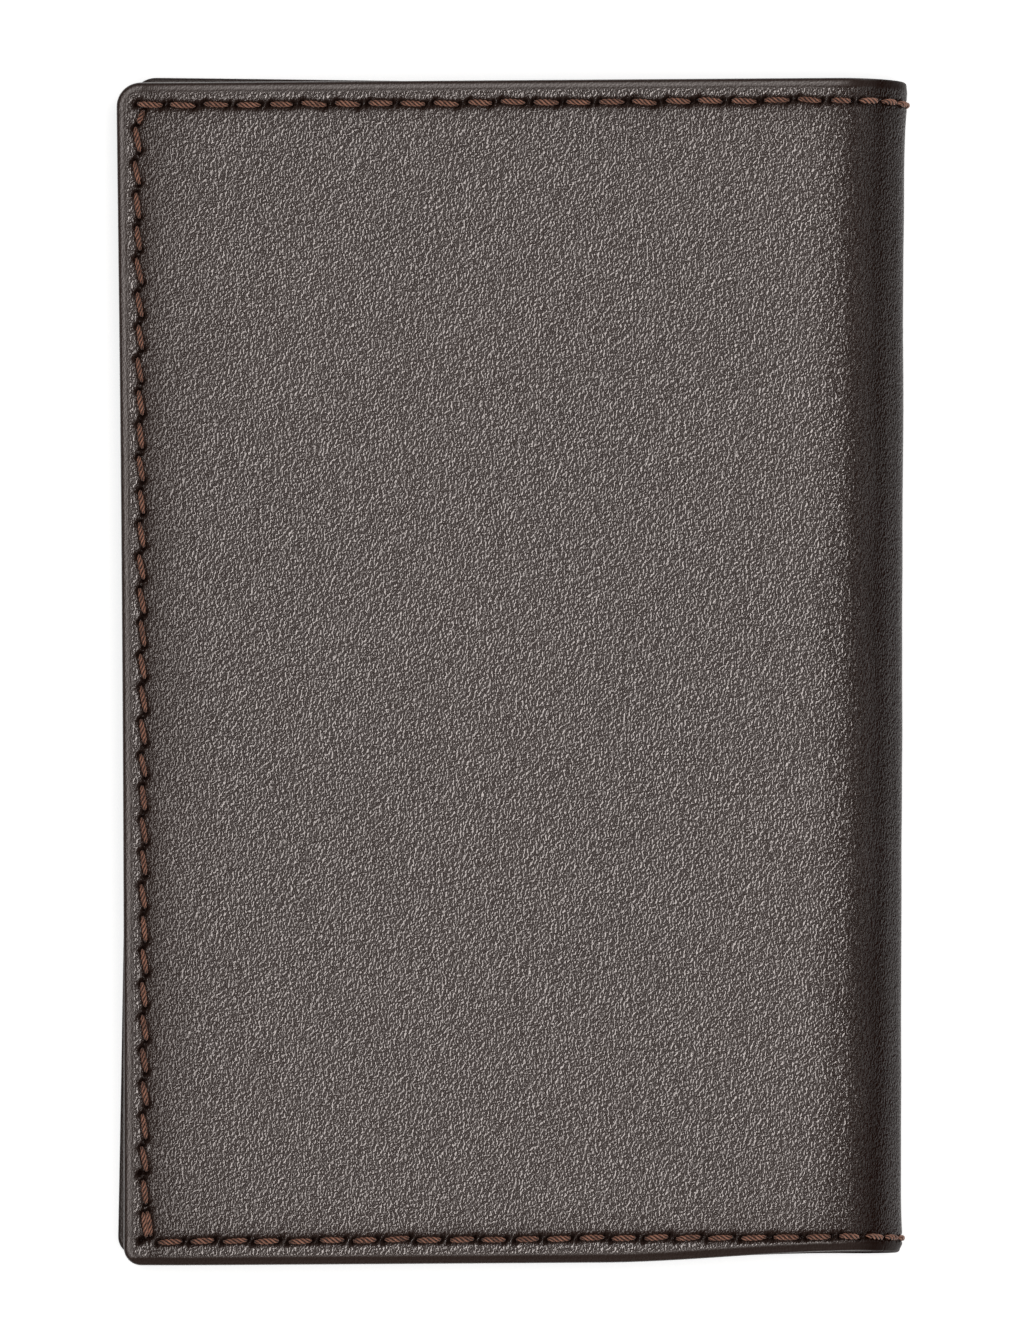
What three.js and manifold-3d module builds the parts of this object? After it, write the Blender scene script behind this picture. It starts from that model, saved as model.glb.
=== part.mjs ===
// Business card case: a bifold of smooth leather with a gusseted main pocket on its rear panel and
// card slots inside its front flap.
//
// The case lies closed on its rear panel. X runs from the free edges (-X) to the spine (+X), Y runs
// along the spine, and Z runs from the rear panel's outer face up to the front flap's outer face.
// Units are millimetres. The origin is under the middle of the case, on the surface it lies on.
//
// Leather, lining and thread that go round the spine are one piece on the real case. Here they are
// divided at four fold lines, so that the spine can roll open.

import * as THREE from 'three';
import { mergeVertices } from 'three/addons/utils/BufferGeometryUtils.js';
import Module from 'manifold-3d';

const wasm = await Module();
wasm.setup();

// Driving dimensions.
const LENGTH = 112.5;
const WIDTH = 75;
const THICKNESS = 15;
const CORNER_RADIUS = 2.3;

const OUTER_LEATHER = 1.2;
const STIFFENER = 0.4;
const LINING = 0.5;
const SLIP_LEATHER = 0.55;
const POCKET_LEATHER = 0.9;
const POCKET_LINING = 0.3;
const GUSSET_LEATHER = 0.4;
const BACKING_FABRIC = 0.15;
const GLUE_GAP = 0.05;

const CAVITY = 4.8;
const GUSSET_DEPTH = 7.4;
const GUSSET_FLANGE = 4.2;
const POCKET_INSET = 2.3;
const INNER_INSET = 0.45;

const MOUTH_X = 27;
const SLIP_MOUTH_X = 24;
const LOWER_SLOT_X = 14;
const UPPER_SLOT_X = 2;
const SLOT_OVERLAP = 4;
const SLOT_GAP = 0.25;
const NOTCH_RADIUS = 12;
const NOTCH_OFFSET = 5;
const POCKET_CORNER_RADIUS = 1;

const STITCH_INSET = 1.95;
const THREAD_WIDTH = 0.7;
const THREAD_HEIGHT = 0.35;
const GROOVE_WIDTH = 1.0;
const GROOVE_DEPTH = 0.5;
const THREAD_CLEARANCE = 0.05;
const GUSSET_SEAM_LIFT = 0.2;
const POCKET_STITCH_INSET = 1.6;

const FOLD_COUNT = 4;
const FOLD_HALF_GAP = 0.15;
const ARC_STEPS_PER_FOLD = 6;
const CORNER_SEGMENTS = 8;
const NOTCH_SEGMENTS = 48;
const SHORTEST_STEP = 0.01;
const WELD_DISTANCE = 1e-5;

// Derived dimensions. The spine is a half cylinder as thick as the closed case.
const SPINE_RADIUS = THICKNESS / 2;
const FREE_EDGE_X = -WIDTH / 2;
const SPINE_X = WIDTH / 2 - SPINE_RADIUS;
const HALF_LENGTH = LENGTH / 2;
const PANEL_RUN = SPINE_X - FREE_EDGE_X;
const SPINE_RUN = Math.PI * SPINE_RADIUS;
const SHEET_RUN = 2 * PANEL_RUN + SPINE_RUN;
const FOLD_SPACING = SPINE_RUN / FOLD_COUNT;
const STITCH_Y = HALF_LENGTH - STITCH_INSET;

// Depths of the shared layers, from the outer face of either panel inwards.
const STIFFENER_DEPTH = OUTER_LEATHER + GLUE_GAP;
const LINING_DEPTH = STIFFENER_DEPTH + STIFFENER + GLUE_GAP;
const SLIP_DEPTH = LINING_DEPTH + LINING + GLUE_GAP;

// Heights of the pocket above the rear panel.
const CAVITY_BOTTOM = SLIP_DEPTH + SLIP_LEATHER + GLUE_GAP;
const CAVITY_TOP = CAVITY_BOTTOM + CAVITY;
const POCKET_LINING_Z = CAVITY_TOP + GLUE_GAP;
const POCKET_LEATHER_Z = POCKET_LINING_Z + POCKET_LINING + GLUE_GAP;
const POCKET_TOP = POCKET_LEATHER_Z + POCKET_LEATHER;

// Heights of the layers that hang under the front flap's lining, each below the one before.
const SLIP_BOTTOM = THICKNESS - SLIP_DEPTH - SLIP_LEATHER;
const LOWER_SLOT_BOTTOM = SLIP_BOTTOM - SLOT_GAP - SLIP_LEATHER;
const UPPER_SLOT_BOTTOM = LOWER_SLOT_BOTTOM - SLOT_GAP - SLIP_LEATHER;

const LEATHER_COLOR = 0x3a2a24;
const INNER_LEATHER_COLOR = 0x4a352c;
const THREAD_COLOR = 0x6b3a28;
const FABRIC_COLOR = 0x2a211e;
const BOARD_COLOR = 0x8a7258;

const outerLeather = material(LEATHER_COLOR, 0.5);
const innerLeather = material(INNER_LEATHER_COLOR, 0.6);
const liningLeather = material(INNER_LEATHER_COLOR, 0.7);
const thread = material(THREAD_COLOR, 0.75);
const fabric = material(FABRIC_COLOR, 0.9);
const board = material(BOARD_COLOR, 0.95);

const group = new THREE.Group();
addRearPanel();
addPocket();
addSpine();
addFrontFlap();

function material(color, roughness) {
  return new THREE.MeshStandardMaterial({ color, roughness, metalness: 0 });
}

function addPart(name, geometry, partMaterial) {
  const mesh = new THREE.Mesh(geometry, partMaterial);
  mesh.name = name;
  group.add(mesh);
}

// Booleans.

function toSolid(geometry) {
  const bare = geometry.clone();
  bare.deleteAttribute('normal');
  bare.deleteAttribute('uv');
  const merged = mergeVertices(bare, WELD_DISTANCE);
  return new wasm.Manifold(new wasm.Mesh({
    numProp: 3,
    vertProperties: new Float32Array(merged.attributes.position.array),
    triVerts: new Uint32Array(merged.index.array),
  }));
}

function toGeometry(solid) {
  const mesh = solid.getMesh();
  const geometry = new THREE.BufferGeometry();
  geometry.setAttribute('position', new THREE.BufferAttribute(new Float32Array(mesh.vertProperties), 3));
  geometry.setIndex(new THREE.BufferAttribute(new Uint32Array(mesh.triVerts), 1));
  const faceted = geometry.toNonIndexed();
  faceted.computeVertexNormals();
  return faceted;
}

function joined(geometries) {
  return geometries.map(toSolid).reduce((whole, piece) => whole.add(piece));
}

// Flat sheets: outlines in X and Y, extruded between two heights.

function flatSheet(outline, bottom, top) {
  const options = { depth: top - bottom, bevelEnabled: false, curveSegments: CORNER_SEGMENTS };
  return new THREE.ExtrudeGeometry(outline, options).translate(0, 0, bottom);
}

function rectangle(x0, x1, y0, y1) {
  const outline = new THREE.Shape();
  outline.moveTo(x0, y0);
  outline.lineTo(x1, y0);
  outline.lineTo(x1, y1);
  outline.lineTo(x0, y1);
  outline.closePath();
  return outline;
}

// A rectangle with both corners at its free edge rounded.
function panelOutline(x0, x1, halfWidth, radius) {
  const outline = new THREE.Shape();
  outline.moveTo(x1, -halfWidth);
  outline.lineTo(x1, halfWidth);
  outline.lineTo(x0 + radius, halfWidth);
  outline.absarc(x0 + radius, halfWidth - radius, radius, Math.PI / 2, Math.PI, false);
  outline.lineTo(x0, -halfWidth + radius);
  outline.absarc(x0 + radius, -halfWidth + radius, radius, Math.PI, 1.5 * Math.PI, false);
  outline.closePath();
  return outline;
}

function insetPanel(inset, x1, bottom, top) {
  const outline = panelOutline(FREE_EDGE_X + inset, x1, HALF_LENGTH - inset, CORNER_RADIUS - inset);
  return flatSheet(outline, bottom, top);
}

// Sheets that follow the case from the rear panel's free edge round the spine to the flap's free
// edge. "run" is the distance along the outer face and "depth" the distance in from it.

function sheetPoint(run, depth) {
  if (run <= PANEL_RUN) {
    return new THREE.Vector2(FREE_EDGE_X + run, depth);
  }
  if (run >= PANEL_RUN + SPINE_RUN) {
    return new THREE.Vector2(FREE_EDGE_X + SHEET_RUN - run, THICKNESS - depth);
  }
  const angle = (run - PANEL_RUN) / SPINE_RADIUS;
  const radius = SPINE_RADIUS - depth;
  return new THREE.Vector2(SPINE_X + radius * Math.sin(angle), SPINE_RADIUS - radius * Math.cos(angle));
}

function sheetStations(run0, run1) {
  const stations = [run0];
  const step = FOLD_SPACING / ARC_STEPS_PER_FOLD;
  const steps = FOLD_COUNT * ARC_STEPS_PER_FOLD;
  for (let i = 0; i <= steps; i += 1) {
    const run = PANEL_RUN + i * step;
    if (run > run0 + SHORTEST_STEP && run < run1 - SHORTEST_STEP) {
      stations.push(run);
    }
  }
  stations.push(run1);
  return stations;
}

function bentSheet(run0, run1, depth0, depth1, y0, y1) {
  const stations = sheetStations(run0, run1);
  const outerSide = stations.map((run) => sheetPoint(run, depth0));
  const innerSide = stations.map((run) => sheetPoint(run, depth1)).reverse();
  const outline = new THREE.Shape([...outerSide, ...innerSide]);
  const strip = new THREE.ExtrudeGeometry(outline, { depth: y1 - y0, bevelEnabled: false });
  return strip.rotateX(Math.PI / 2).translate(0, y1, 0);
}

function foldRun(index) {
  return PANEL_RUN + (index + 0.5) * FOLD_SPACING;
}

// The stretch of sheet that belongs to a body: 0 is the rear panel, then the spine strips, and
// FOLD_COUNT is the front flap.
function bodyRuns(index) {
  const start = index === 0 ? 0 : foldRun(index - 1) + FOLD_HALF_GAP;
  const end = index === FOLD_COUNT ? SHEET_RUN : foldRun(index) - FOLD_HALF_GAP;
  return [start, end];
}

// Seam channels and threads along both ends of the case, and along the free edge of a panel.
function seam(index, width, depth0, depth1) {
  const [start, end] = bodyRuns(index);
  const half = width / 2;
  const onRear = index === 0;
  const onFront = index === FOLD_COUNT;
  const run0 = onRear ? STITCH_INSET - half : start;
  const run1 = onFront ? SHEET_RUN - STITCH_INSET + half : end;
  const top = bentSheet(run0, run1, depth0, depth1, STITCH_Y - half, STITCH_Y + half);
  const bottom = bentSheet(run0, run1, depth0, depth1, -STITCH_Y - half, -STITCH_Y + half);
  if (!onRear && !onFront) {
    return [top, bottom];
  }
  const edge = onRear ? STITCH_INSET : SHEET_RUN - STITCH_INSET;
  return [top, bottom, bentSheet(edge - half, edge + half, depth0, depth1, -STITCH_Y, STITCH_Y)];
}

function seamThread(index) {
  return seam(index, THREAD_WIDTH, THREAD_CLEARANCE, THREAD_CLEARANCE + THREAD_HEIGHT);
}

function seamChannel(index) {
  return joined(seam(index, GROOVE_WIDTH, -GROOVE_DEPTH, GROOVE_DEPTH));
}

function panelLeather(index) {
  const [start, end] = bodyRuns(index);
  const sheet = toSolid(bentSheet(start, end, 0, OUTER_LEATHER, -HALF_LENGTH, HALF_LENGTH));
  const silhouette = toSolid(insetPanel(0, WIDTH, -THICKNESS, 2 * THICKNESS));
  return toGeometry(sheet.intersect(silhouette).subtract(seamChannel(index)));
}

function panelLining(index) {
  const [start, end] = bodyRuns(index);
  const bottom = LINING_DEPTH + LINING;
  const sheet = toSolid(bentSheet(start, end, LINING_DEPTH, bottom, -HALF_LENGTH, HALF_LENGTH));
  const silhouette = toSolid(insetPanel(INNER_INSET / 2, WIDTH, -THICKNESS, 2 * THICKNESS));
  return toGeometry(sheet.intersect(silhouette));
}

// A seam that lies on a flat face inside the case: a bar along each end and one along the free edge.
function innerSeam(inset, x1, halfWidth, bottom, top, width = THREAD_WIDTH) {
  const half = width / 2;
  const x0 = FREE_EDGE_X + inset;
  return [
    flatSheet(rectangle(x0 - half, x1, halfWidth - half, halfWidth + half), bottom, top),
    flatSheet(rectangle(x0 - half, x1, -halfWidth - half, -halfWidth + half), bottom, top),
    flatSheet(rectangle(x0 - half, x0 + half, -halfWidth, halfWidth), bottom, top),
  ];
}

function addRearPanel() {
  addPart('rear_outer_leather', panelLeather(0), outerLeather);
  addPart('rear_outer_thread', toGeometry(joined(seamThread(0))), thread);
  const boardTop = STIFFENER_DEPTH + STIFFENER;
  addPart('rear_stiffener', insetPanel(INNER_INSET, SPINE_X, STIFFENER_DEPTH, boardTop), board);
  addPart('rear_lining', panelLining(0), liningLeather);
  const slipTop = SLIP_DEPTH + SLIP_LEATHER;
  addPart('rear_slip_panel', insetPanel(INNER_INSET, MOUTH_X, SLIP_DEPTH, slipTop), innerLeather);
  // The gusset stretches upwards as the pocket fills, so its seam stands clear of the flange.
  const seamBottom = CAVITY_BOTTOM + GUSSET_LEATHER + GUSSET_SEAM_LIFT;
  const runs = innerSeam(STITCH_INSET, MOUTH_X, STITCH_Y, seamBottom, seamBottom + THREAD_HEIGHT);
  addPart('rear_inner_thread', toGeometry(joined(runs)), thread);
}

// The main pocket: a V-folded gusset on three sides, and a front panel that rises and sinks on it.

// The outline of a strip of constant thickness along a line of points, mitred at each bend.
function ribbonOutline(points, thickness) {
  const left = [];
  const right = [];
  points.forEach((point, i) => {
    const before = points[Math.max(i - 1, 0)];
    const after = points[Math.min(i + 1, points.length - 1)];
    const arriving = i === 0 ? after.clone().sub(point) : point.clone().sub(before);
    const leaving = i === points.length - 1 ? arriving.clone() : after.clone().sub(point);
    const mitre = arriving.normalize().clone().add(leaving.normalize()).normalize();
    const reach = thickness / 2 / Math.abs(mitre.dot(leaving));
    const side = new THREE.Vector2(-mitre.y, mitre.x).multiplyScalar(reach);
    left.push(point.clone().add(side));
    right.push(point.clone().sub(side));
  });
  return [...right, ...left.reverse()];
}

// A closed body through rings of points, with both ends capped.
function loft(rings, profile) {
  const count = profile.length;
  const positions = rings.flat().flatMap((point) => point.toArray());
  const index = [];
  for (let r = 0; r + 1 < rings.length; r += 1) {
    for (let i = 0; i < count; i += 1) {
      const a = r * count + i;
      const b = r * count + ((i + 1) % count);
      index.push(a, b, b + count, a, b + count, a + count);
    }
  }
  const last = (rings.length - 1) * count;
  THREE.ShapeUtils.triangulateShape(profile, []).forEach(([a, b, c]) => {
    index.push(a, c, b, last + a, last + b, last + c);
  });
  const geometry = new THREE.BufferGeometry();
  geometry.setAttribute('position', new THREE.Float32BufferAttribute(positions, 3));
  geometry.setIndex(index);
  const faceted = geometry.toNonIndexed();
  faceted.computeVertexNormals();
  return faceted;
}

function gusset() {
  const low = CAVITY_BOTTOM + GUSSET_LEATHER / 2;
  const high = CAVITY_TOP - GUSSET_LEATHER / 2;
  const profile = ribbonOutline([
    new THREE.Vector2(0, low),
    new THREE.Vector2(GUSSET_FLANGE, low),
    new THREE.Vector2(GUSSET_DEPTH, (low + high) / 2),
    new THREE.Vector2(GUSSET_FLANGE, high),
    new THREE.Vector2(POCKET_INSET, high),
  ], GUSSET_LEATHER);
  const edgeX = FREE_EDGE_X + INNER_INSET;
  const edgeY = HALF_LENGTH - INNER_INSET;
  const ring = (place) => profile.map(({ x: inset, y: z }) => new THREE.Vector3(...place(inset), z));
  const rings = [
    ring((inset) => [MOUTH_X, edgeY - inset]),
    ring((inset) => [edgeX + inset, edgeY - inset]),
    ring((inset) => [edgeX + inset, inset - edgeY]),
    ring((inset) => [MOUTH_X, inset - edgeY]),
  ];
  return loft(rings, profile);
}

function pocketPanel(bottom, top) {
  const x0 = FREE_EDGE_X + INNER_INSET + POCKET_INSET;
  const halfWidth = HALF_LENGTH - INNER_INSET - POCKET_INSET;
  const outline = panelOutline(x0, MOUTH_X, halfWidth, POCKET_CORNER_RADIUS);
  const panel = toSolid(flatSheet(outline, bottom, top));
  const notch = new THREE.CylinderGeometry(NOTCH_RADIUS, NOTCH_RADIUS, THICKNESS, NOTCH_SEGMENTS);
  notch.rotateX(Math.PI / 2).translate(MOUTH_X + NOTCH_OFFSET, 0, (bottom + top) / 2);
  return panel.subtract(toSolid(notch));
}

function addPocket() {
  addPart('pocket_gusset', gusset(), innerLeather);
  const liningTop = POCKET_LINING_Z + POCKET_LINING;
  addPart('pocket_front_lining', toGeometry(pocketPanel(POCKET_LINING_Z, liningTop)), fabric);
  const inset = INNER_INSET + POCKET_INSET + POCKET_STITCH_INSET;
  const halfWidth = HALF_LENGTH - inset;
  const channelBottom = POCKET_TOP - GROOVE_DEPTH;
  const channel = joined(innerSeam(inset, WIDTH, halfWidth, channelBottom, THICKNESS, GROOVE_WIDTH));
  const leather = pocketPanel(POCKET_LEATHER_Z, POCKET_TOP).subtract(channel);
  addPart('pocket_front_leather', toGeometry(leather), innerLeather);
  const threadTop = POCKET_TOP - THREAD_CLEARANCE;
  const runs = innerSeam(inset, MOUTH_X, halfWidth, threadTop - THREAD_HEIGHT, threadTop);
  addPart('pocket_thread', toGeometry(joined(runs)), thread);
}

function addSpine() {
  const names = ['spine_rear', 'spine_middle', 'spine_front'];
  names.forEach((name, i) => {
    const index = i + 1;
    const [start, end] = bodyRuns(index);
    const leather = toSolid(bentSheet(start, end, 0, OUTER_LEATHER, -HALF_LENGTH, HALF_LENGTH));
    addPart(`${name}_leather`, toGeometry(leather.subtract(seamChannel(index))), outerLeather);
    const innerFace = LINING_DEPTH + LINING;
    const halfWidth = HALF_LENGTH - INNER_INSET / 2;
    const lining = bentSheet(start, end, LINING_DEPTH, innerFace, -halfWidth, halfWidth);
    addPart(`${name}_lining`, lining, liningLeather);
    const [top, bottom] = seamThread(index);
    addPart(`${name}_thread_top`, top, thread);
    addPart(`${name}_thread_bottom`, bottom, thread);
  });
}

// The seam inside the flap steps down from each slot's face to the next.
function steppedSeam(levels) {
  const solids = [];
  levels.forEach(({ x0, x1, face }, i) => {
    const top = face - THREAD_CLEARANCE;
    const bottom = top - THREAD_HEIGHT;
    const rise = i + 1 < levels.length ? levels[i + 1].face - THREAD_CLEARANCE : top;
    [-STITCH_Y, STITCH_Y].forEach((y) => {
      const half = THREAD_WIDTH / 2;
      solids.push(flatSheet(rectangle(x0, x1, y - half, y + half), bottom, top));
      solids.push(flatSheet(rectangle(x1 - THREAD_HEIGHT, x1, y - half, y + half), bottom, rise));
    });
  });
  const { face } = levels[0];
  const top = face - THREAD_CLEARANCE;
  const [, , edge] = innerSeam(STITCH_INSET, 0, STITCH_Y, top - THREAD_HEIGHT, top);
  return [...solids, edge];
}

function addFrontFlap() {
  addPart('front_outer_leather', panelLeather(FOLD_COUNT), outerLeather);
  addPart('front_outer_thread', toGeometry(joined(seamThread(FOLD_COUNT))), thread);
  const boardTop = THICKNESS - STIFFENER_DEPTH;
  addPart('front_stiffener', insetPanel(INNER_INSET, SPINE_X, boardTop - STIFFENER, boardTop), board);
  addPart('front_lining', panelLining(FOLD_COUNT), liningLeather);
  const slip = insetPanel(INNER_INSET, SLIP_MOUTH_X, SLIP_BOTTOM, SLIP_BOTTOM + SLIP_LEATHER);
  addPart('front_slip_panel', slip, innerLeather);
  const halfWidth = HALF_LENGTH - INNER_INSET;
  const stripEdge = UPPER_SLOT_X - SLOT_OVERLAP;
  const stripOutline = rectangle(stripEdge, LOWER_SLOT_X, -halfWidth, halfWidth);
  const strip = flatSheet(stripOutline, LOWER_SLOT_BOTTOM, LOWER_SLOT_BOTTOM + SLIP_LEATHER);
  addPart('lower_slot_strip', strip, innerLeather);
  const backingEdge = stripEdge - 2 * FOLD_HALF_GAP;
  const backingTop = LOWER_SLOT_BOTTOM + BACKING_FABRIC;
  const backing = insetPanel(INNER_INSET, backingEdge, LOWER_SLOT_BOTTOM, backingTop);
  addPart('lower_slot_backing', backing, fabric);
  const upperTop = UPPER_SLOT_BOTTOM + SLIP_LEATHER;
  const upper = insetPanel(INNER_INSET, UPPER_SLOT_X, UPPER_SLOT_BOTTOM, upperTop);
  addPart('upper_slot_panel', upper, innerLeather);
  const step = THREAD_HEIGHT + 2 * THREAD_CLEARANCE;
  const overlap = step - THREAD_HEIGHT;
  const liningFace = THICKNESS - SLIP_DEPTH + GLUE_GAP;
  const levels = [
    { x0: FREE_EDGE_X + STITCH_INSET, x1: UPPER_SLOT_X + step, face: UPPER_SLOT_BOTTOM },
    { x0: UPPER_SLOT_X + overlap, x1: LOWER_SLOT_X + step, face: LOWER_SLOT_BOTTOM },
    { x0: LOWER_SLOT_X + overlap, x1: SLIP_MOUTH_X + step, face: SLIP_BOTTOM },
    { x0: SLIP_MOUTH_X + overlap, x1: SPINE_X, face: liningFace },
  ];
  addPart('front_inner_thread', toGeometry(joined(steppedSeam(levels))), thread);
}

export default group;
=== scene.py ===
"""A closed business card case of dark brown leather, seen from straight above.

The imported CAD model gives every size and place. Each piece of leather, cloth and thread is built here
as a fine mesh and stands in for its CAD node. Lengths in this script are millimetres until a mesh is
made, where they become metres.
"""

import math

import bmesh
import bpy
import numpy as np
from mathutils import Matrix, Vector
from mathutils.geometry import delaunay_2d_cdt


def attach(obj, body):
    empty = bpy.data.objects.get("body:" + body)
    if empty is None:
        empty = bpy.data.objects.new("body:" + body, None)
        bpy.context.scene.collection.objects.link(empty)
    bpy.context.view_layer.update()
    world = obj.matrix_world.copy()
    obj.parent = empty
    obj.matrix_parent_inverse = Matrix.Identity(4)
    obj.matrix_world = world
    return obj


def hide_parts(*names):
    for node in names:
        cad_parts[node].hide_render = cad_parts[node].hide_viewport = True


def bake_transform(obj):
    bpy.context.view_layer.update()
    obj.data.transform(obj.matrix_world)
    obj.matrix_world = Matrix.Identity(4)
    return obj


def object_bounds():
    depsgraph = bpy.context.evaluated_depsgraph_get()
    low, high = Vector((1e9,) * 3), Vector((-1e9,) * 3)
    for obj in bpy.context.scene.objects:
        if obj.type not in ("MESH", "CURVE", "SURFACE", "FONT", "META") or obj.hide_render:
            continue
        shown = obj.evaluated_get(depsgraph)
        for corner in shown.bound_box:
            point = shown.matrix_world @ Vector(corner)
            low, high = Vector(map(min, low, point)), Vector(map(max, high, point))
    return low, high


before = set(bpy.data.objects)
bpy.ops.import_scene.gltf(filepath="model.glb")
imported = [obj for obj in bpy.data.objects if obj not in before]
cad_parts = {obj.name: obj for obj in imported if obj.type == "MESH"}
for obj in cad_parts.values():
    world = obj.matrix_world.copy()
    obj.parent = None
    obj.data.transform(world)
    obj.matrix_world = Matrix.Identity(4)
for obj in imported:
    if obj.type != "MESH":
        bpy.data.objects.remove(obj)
cad_low, cad_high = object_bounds()

MM = 0.001

# The size of the closed case, and of the sheet of leather that wraps it. "run" or u is the distance
# along the sheet from the rear cover's free edge, and v the distance along the spine from its middle.
WIDTH, LENGTH, THICKNESS = (cad_high - cad_low) / MM
HALF_LENGTH = LENGTH / 2
FREE_EDGE_X = -WIDTH / 2
SPINE_RADIUS = THICKNESS / 2
SPINE_X = WIDTH / 2 - SPINE_RADIUS
PANEL_RUN = SPINE_X - FREE_EDGE_X
SPINE_RUN = math.pi * SPINE_RADIUS
SHEET_RUN = 2 * PANEL_RUN + SPINE_RUN

# Layers of the covers, and how deep their outer leather reaches at its turned edges.
LEATHER = 1.2
EDGE_DEPTH = 1.65
LINING_FACE = 2.2
LINING = 0.5

# The covers' corners and seam, and how the bottom edge is trimmed.
TOP_CORNER = 2.3
BOTTOM_CORNER = 1.7

STITCH_PITCH = 3.09
STITCH_INSET = 1.95
TOP_INSET = 2.12
HEM_INSET = 2.45
HEM_TRIM = 0.15
HEM_RISE = 0.95

# The bodies that each stretch of the wrapped sheet joins, from the rear panel to the front flap.
STRETCHES = [
    ("rear_panel", "spine_rear"),
    ("spine_rear", "spine_middle"),
    ("spine_middle", "spine_front"),
    ("spine_front", "front_flap"),
]
STRETCH_NAMES = ["rear_cover", "spine_lower", "spine_upper", "front_cover"]

# The covers of a soft case don't lie quite square: turn in degrees and shift of each cover.
REAR_TURN, REAR_SHIFT = -0.8, (0.58, 0.05)
FRONT_TURN, FRONT_SHIFT = 0.45, (0.25, -0.05)
FREE_EDGE_BOW = 0.22


# ---------------------------------------------------------------- places on the wrapped sheet

def fold_point(run, depth):
    """x and z of a point that lies "run" along the outer face and "depth" in from it."""
    angle = np.clip((run - PANEL_RUN) / SPINE_RADIUS, 0, math.pi)
    radius = SPINE_RADIUS - depth
    beyond = np.maximum(PANEL_RUN - run, 0) + np.maximum(run - PANEL_RUN - SPINE_RUN, 0)
    return SPINE_X + radius * np.sin(angle) - beyond, SPINE_RADIUS - radius * np.cos(angle)


def settle(x, y, z):
    """Turns and shifts each level of the case between the rear cover's lie and the front cover's, and
    bows its free edges a little inward."""
    share = z / THICKNESS
    x = x + FREE_EDGE_BOW * (1 - (y / HALF_LENGTH) ** 2) * np.clip(x / FREE_EDGE_X, 0, 1)
    turn = np.radians(REAR_TURN + (FRONT_TURN - REAR_TURN) * share)
    shift_x = REAR_SHIFT[0] + (FRONT_SHIFT[0] - REAR_SHIFT[0]) * share
    shift_y = REAR_SHIFT[1] + (FRONT_SHIFT[1] - REAR_SHIFT[1]) * share
    c, s = np.cos(turn), np.sin(turn)
    return np.stack([x * c - y * s + shift_x, x * s + y * c + shift_y, z], axis=-1)


def on_sheet(run, v, depth):
    x, z = fold_point(run, depth)
    return settle(x, v, z)


def stretch_runs(index):
    """Where a stretch starts and ends. It meets the next one half way between two fold lines."""
    quarter = SPINE_RUN / 4
    start = 0 if index == 0 else PANEL_RUN + index * quarter
    end = SHEET_RUN if index == 3 else PANEL_RUN + (index + 1) * quarter
    return start, end


def bend_stretch(piece, index):
    """Bakes the placement of a piece of the wrapped sheet into its mesh."""
    body_a, body_b = STRETCHES[index]
    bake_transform(piece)


def ripple(u, v, seed, longest, shortest, waves=9):
    """A smooth random height between about -1 and 1, made of plane waves."""
    rng = np.random.default_rng(seed)
    total = np.zeros_like(np.asarray(u, float))
    for _ in range(waves):
        length = rng.uniform(shortest, longest)
        heading = rng.uniform(0, math.pi)
        phase = rng.uniform(0, 2 * math.pi)
        along = u * math.cos(heading) + v * math.sin(heading)
        total += np.sin(2 * math.pi * along / length + phase)
    return total / math.sqrt(waves)


# ---------------------------------------------------------------- meshes

def make_piece(name, points, faces, material, slot, flat=None, normals=None, **marks):
    """A mesh object from points in mm. flat is each point's place on the unfolded leather, which the
    grain follows. The marks are shares from 0 to 1 at each point: edge for a worn or painted edge,
    pit for painted shade in a needle hole and beside a stitch, crease for bent leather,
    dull for painted shade and lost gloss where the spine turns away from the light, and ply
    for how far out on a thread each point lies, which paints shade between its plies."""
    mesh = bpy.data.meshes.new(name)
    mesh.from_pydata((np.asarray(points) * MM).tolist(), [], faces)
    turned_out = bmesh.new()
    turned_out.from_mesh(mesh)
    bmesh.ops.recalc_face_normals(turned_out, faces=turned_out.faces)
    turned_out.to_mesh(mesh)
    turned_out.free()
    if flat is not None:
        sheet = mesh.attributes.new("sheet", "FLOAT_VECTOR", "POINT")
        sheet.data.foreach_set("vector", np.asarray(flat, np.float32).ravel())
    for mark, share in marks.items():
        layer = mesh.attributes.new(mark, "FLOAT", "POINT")
        layer.data.foreach_set("value", np.asarray(share, np.float32))
    mesh.shade_smooth()
    if normals is not None:
        mesh.normals_split_custom_set_from_vertices(normals.tolist())
    mesh.materials.append(material)
    piece = bpy.data.objects.new(name, mesh)
    bpy.context.scene.collection.objects.link(piece)
    return piece


def triangulate(points, boundary_count):
    """Triangles over a cloud of flat points whose first ones are the closed outline."""
    loop = list(range(boundary_count))
    made = delaunay_2d_cdt([Vector(p) for p in points], [], [loop], 1, 1e-7)
    if len(made[0]) != len(points):
        raise ValueError("the outline crosses itself, or two points are the same")
    return [list(face) for face in made[2]]


def even_line(start, end, spacing):
    """Points from start towards end, the end left out."""
    start, end = np.asarray(start, float), np.asarray(end, float)
    count = max(int(round(np.linalg.norm(end - start) / spacing)), 1)
    return start + (end - start) * (np.arange(count) / count)[:, None]


def arc_line(centre, radius, angle0, angle1, spacing):
    count = max(int(round(abs(angle1 - angle0) * radius / spacing)), 3)
    angles = angle0 + (angle1 - angle0) * np.arange(count) / count
    return np.asarray(centre) + radius * np.stack([np.cos(angles), np.sin(angles)], axis=1)


def corner(centre, radius, start, spacing):
    """A quarter circle that starts "start" half turns on from the +u direction."""
    return arc_line(centre, radius, start * math.pi, (start + 0.5) * math.pi, spacing)


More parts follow.
